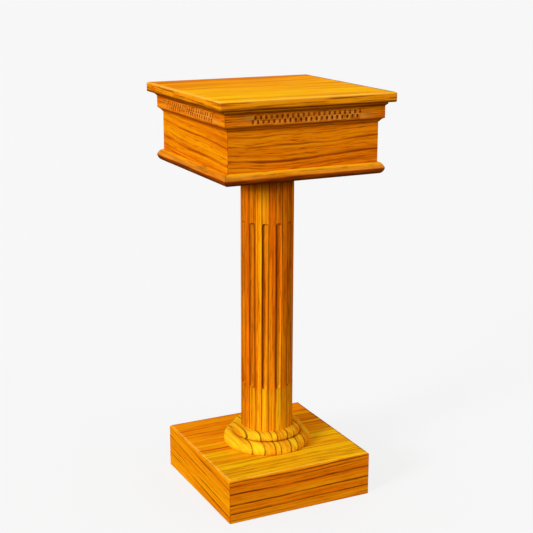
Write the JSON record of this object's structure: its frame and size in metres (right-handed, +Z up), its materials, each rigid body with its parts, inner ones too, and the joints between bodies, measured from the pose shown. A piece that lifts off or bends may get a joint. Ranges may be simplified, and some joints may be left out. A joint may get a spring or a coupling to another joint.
{
  "type": "pedestal stand",
  "caption": "Square oak pedestal stand: a top board on a moulded box with dentils, carried by a round fluted column in a turned collar on a square plinth.",
  "frame": {"origin": "on the floor, under the middle of the stand", "axes": "+Z up, -Y towards the front, +X to the right as seen from the front"},
  "size_m": [0.4036, 0.4036, 0.9144],
  "materials": {
    "oak_top": "satin clear lacquer over golden oak, grain left to right",
    "oak_crown": "satin clear lacquer over golden oak, darker in the dentil spaces",
    "oak_box": "satin clear lacquer over golden oak, grain level with dark streaks",
    "oak_trim": "satin clear lacquer over golden oak",
    "oak_inside": "bare oak, not lacquered",
    "oak_flute_stave": "satin clear lacquer over golden oak, grain upright",
    "oak_land_stave": "satin clear lacquer over golden oak, grain upright, a little darker",
    "oak_collar": "satin clear lacquer over golden oak blocks of differing shade",
    "oak_plinth_top": "satin clear lacquer over golden oak, grain left to right",
    "oak_plinth_side": "satin clear lacquer over golden oak, grain level with dark lines",
    "zinc_steel": "zinc plated"
  },
  "bodies": {
    "root": {"box_side_back": "oak_box", "box_side_front": "oak_box", "box_side_left": "oak_box", "box_side_right": "oak_box", "box_trim_back": "oak_trim", "box_trim_front": "oak_trim", "box_trim_left": "oak_trim", "box_trim_right": "oak_trim", "collar_back_block_3": "oak_collar", "collar_back_block_4": "oak_collar", "collar_back_block_5": "oak_collar", "collar_back_block_6": "oak_collar", "collar_back_block_7": "oak_collar", "collar_front_block_3": "oak_collar", "collar_front_block_4": "oak_collar", "collar_front_block_5": "oak_collar", "collar_front_block_6": "oak_collar", "collar_front_block_7": "oak_collar", "collar_side_board_1": "oak_collar", "collar_side_board_2": "oak_collar", "collar_side_board_8": "oak_collar", "column_head_plug": "oak_inside", "crown_moulding_back": "oak_crown", "crown_moulding_front": "oak_crown", "crown_moulding_left": "oak_crown", "crown_moulding_right": "oak_crown", "flange_nut_lower": "zinc_steel", "flange_nut_upper": "zinc_steel", "flute_stave_01": "oak_flute_stave", "flute_stave_02": "oak_flute_stave", "flute_stave_03": "oak_flute_stave", "flute_stave_04": "oak_flute_stave", "flute_stave_05": "oak_flute_stave", "flute_stave_06": "oak_flute_stave", "flute_stave_07": "oak_flute_stave", "flute_stave_08": "oak_flute_stave", "flute_stave_09": "oak_flute_stave", "flute_stave_10": "oak_flute_stave", "flute_stave_11": "oak_flute_stave", "flute_stave_12": "oak_flute_stave", "land_stave_01": "oak_land_stave", "land_stave_02": "oak_land_stave", "land_stave_03": "oak_land_stave", "land_stave_04": "oak_land_stave", "land_stave_05": "oak_land_stave", "land_stave_06": "oak_land_stave", "land_stave_07": "oak_land_stave", "land_stave_08": "oak_land_stave", "land_stave_09": "oak_land_stave", "land_stave_10": "oak_land_stave", "land_stave_11": "oak_land_stave", "land_stave_12": "oak_land_stave", "plinth_side_back": "oak_plinth_side", "plinth_side_front": "oak_plinth_side", "plinth_side_left": "oak_plinth_side", "plinth_side_right": "oak_plinth_side", "plinth_top": "oak_plinth_top", "soffit_board": "oak_inside", "tie_rod": "zinc_steel", "top_board": "oak_top"}
  },
  "joints": []
}
